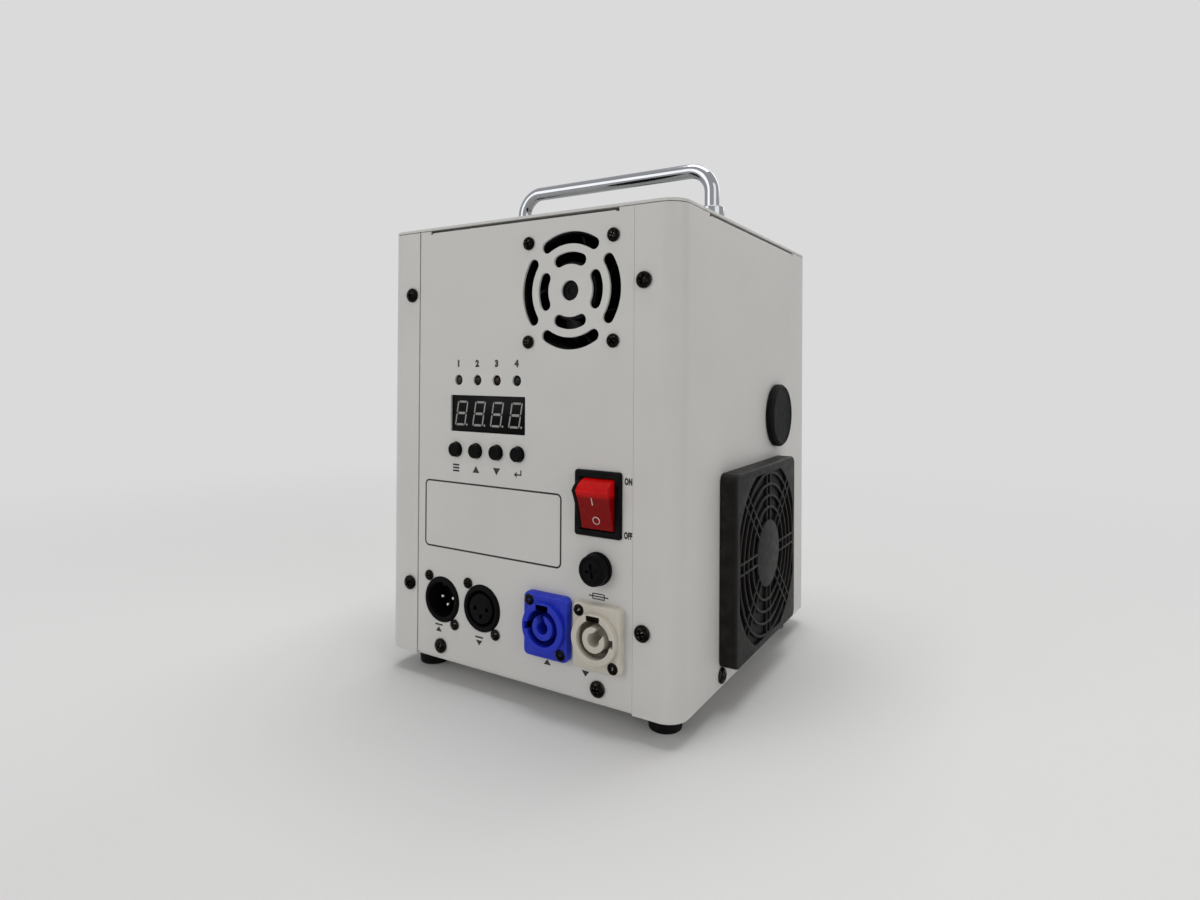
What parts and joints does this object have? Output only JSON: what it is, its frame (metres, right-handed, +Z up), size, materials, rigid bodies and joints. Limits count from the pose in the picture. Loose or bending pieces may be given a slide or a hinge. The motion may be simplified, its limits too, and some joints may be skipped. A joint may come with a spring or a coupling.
{
  "type": "cold spark machine",
  "caption": "Sheet-metal stage spark machine with carrying handle, control panel, signal and power connectors, filtered side fan and a spark outlet in its lid.",
  "frame": {"origin": "centre of the bounding box's underside, on the plane that the feet stand on", "axes": "+Z up, the control panel faces -Y, the filter side faces +X"},
  "size_m": [0.1982, 0.2092, 0.2926],
  "materials": {
    "white_paint": "fine-textured satin powder coat",
    "black_rubber": "matte",
    "chrome": "polished",
    "dark_steel": "black nickel plate",
    "black_plastic": "fine moulded texture",
    "charcoal_plastic": "matte moulded",
    "black_foam": "open-cell foam",
    "gloss_black": "glossy",
    "blue_plastic": "semi-gloss",
    "grey_plastic": "semi-matte",
    "red_plastic": "translucent gloss",
    "display_face": "smooth dark face",
    "lamp_lens": "tinted lens, unlit",
    "fuse_glass": "clear",
    "green_board": "solder-masked circuit board",
    "bare_aluminium": "mill finish",
    "plain_steel": "turned and brushed"
  },
  "bodies": {
    "housing": {"shell_wrap": "white_paint", "control_panel": "white_paint", "top_lid": "white_paint", "base_plate": "white_paint", "foot_1": "black_rubber", "foot_2": "black_rubber", "foot_3": "black_rubber", "foot_4": "black_rubber", "carry_handle": "chrome", "handle_collar_left": "chrome", "handle_collar_right": "chrome", "strip_screw_1": "dark_steel", "strip_screw_2": "dark_steel", "strip_screw_3": "dark_steel", "strip_screw_4": "dark_steel", "panel_screw_1": "dark_steel", "panel_screw_2": "dark_steel", "side_screw_1": "dark_steel", "side_screw_2": "dark_steel", "side_screw_3": "dark_steel", "side_screw_4": "dark_steel", "rear_fan_frame": "black_plastic", "side_fan_frame": "black_plastic", "filter_frame": "black_plastic", "filter_foam": "black_foam", "side_plug": "black_rubber", "dmx_in_connector": "black_plastic", "dmx_out_connector": "black_plastic", "power_inlet": "blue_plastic", "power_outlet": "grey_plastic", "fuse_holder": "black_plastic", "switch_housing": "black_plastic", "display_module": "display_face", "display_board": "green_board", "indicator_1": "lamp_lens", "indicator_2": "lamp_lens", "indicator_3": "lamp_lens", "indicator_4": "lamp_lens", "power_supply": "bare_aluminium", "main_board": "green_board", "inner_bracket": "bare_aluminium", "heater_cup": "plain_steel", "spark_nozzle": "plain_steel", "hopper": "plain_steel", "gear_motor": "plain_steel", "blower_housing": "black_plastic"},
    "rear_fan": {"rear_fan_rotor": "black_plastic"},
    "side_fan": {"side_fan_rotor": "black_plastic"},
    "blower": {"blower_impeller": "black_plastic"},
    "feed": {"feed_screw": "plain_steel"},
    "rocker": {"switch_rocker": "red_plastic"},
    "key_1": {"button_1": "gloss_black"},
    "key_2": {"button_2": "gloss_black"},
    "key_3": {"button_3": "gloss_black"},
    "key_4": {"button_4": "gloss_black"},
    "fuse_carrier": {"fuse_tube": "fuse_glass"},
    "fuse_knob": {"fuse_cap": "black_plastic"},
    "cover": {"filter_cover": "charcoal_plastic"},
    "cap": {"hopper_cap": "black_plastic"}
  },
  "joints": [
    {"name": "rear_fan_spin", "type": "hinge", "parent": "housing", "child": "rear_fan", "pos_m": [0.02975, -0.08, 0.2104], "axis": [0, -1, 0], "continuous": true},
    {"name": "side_fan_spin", "type": "hinge", "parent": "housing", "child": "side_fan", "pos_m": [0.075, -0.00037, 0.071], "axis": [1, 0, 0], "continuous": true},
    {"name": "blower_spin", "type": "hinge", "parent": "housing", "child": "blower", "pos_m": [-0.00325, 0.06263, 0.0838], "axis": [1, 0, 0], "continuous": true},
    {"name": "feed_spin", "type": "hinge", "parent": "housing", "child": "feed", "pos_m": [-0.00325, -0.05, 0.1635], "axis": [0, 1, 0], "continuous": true},
    {"name": "rocker_tip", "type": "hinge", "parent": "housing", "child": "rocker", "pos_m": [0.04725, -0.09437, 0.1079], "axis": [1, 0, 0], "range_deg": [-36, 0]},
    {"name": "key_1_press", "type": "slide", "parent": "housing", "child": "key_1", "axis": [0, 1, 0], "range_m": [0, 0.0005], "stiffness_N_per_m": 400},
    {"name": "key_2_press", "type": "slide", "parent": "housing", "child": "key_2", "axis": [0, 1, 0], "range_m": [0, 0.0005], "stiffness_N_per_m": 400},
    {"name": "key_3_press", "type": "slide", "parent": "housing", "child": "key_3", "axis": [0, 1, 0], "range_m": [0, 0.0005], "stiffness_N_per_m": 400},
    {"name": "key_4_press", "type": "slide", "parent": "housing", "child": "key_4", "axis": [0, 1, 0], "range_m": [0, 0.0005], "stiffness_N_per_m": 400},
    {"name": "fuse_pull", "type": "slide", "parent": "housing", "child": "fuse_carrier", "axis": [0, -1, 0], "range_m": [0, 0.035]},
    {"name": "fuse_turn", "type": "hinge", "parent": "fuse_carrier", "child": "fuse_knob", "pos_m": [0.04705, -0.0957, 0.0771], "axis": [0, -1, 0], "range_deg": [0, 90]},
    {"name": "cover_pull", "type": "slide", "parent": "housing", "child": "cover", "axis": [1, 0, 0], "range_m": [0, 0.06]},
    {"name": "cap_lift", "type": "slide", "parent": "housing", "child": "cap", "axis": [0, 0, 1], "range_m": [0, 0.04]}
  ]
}
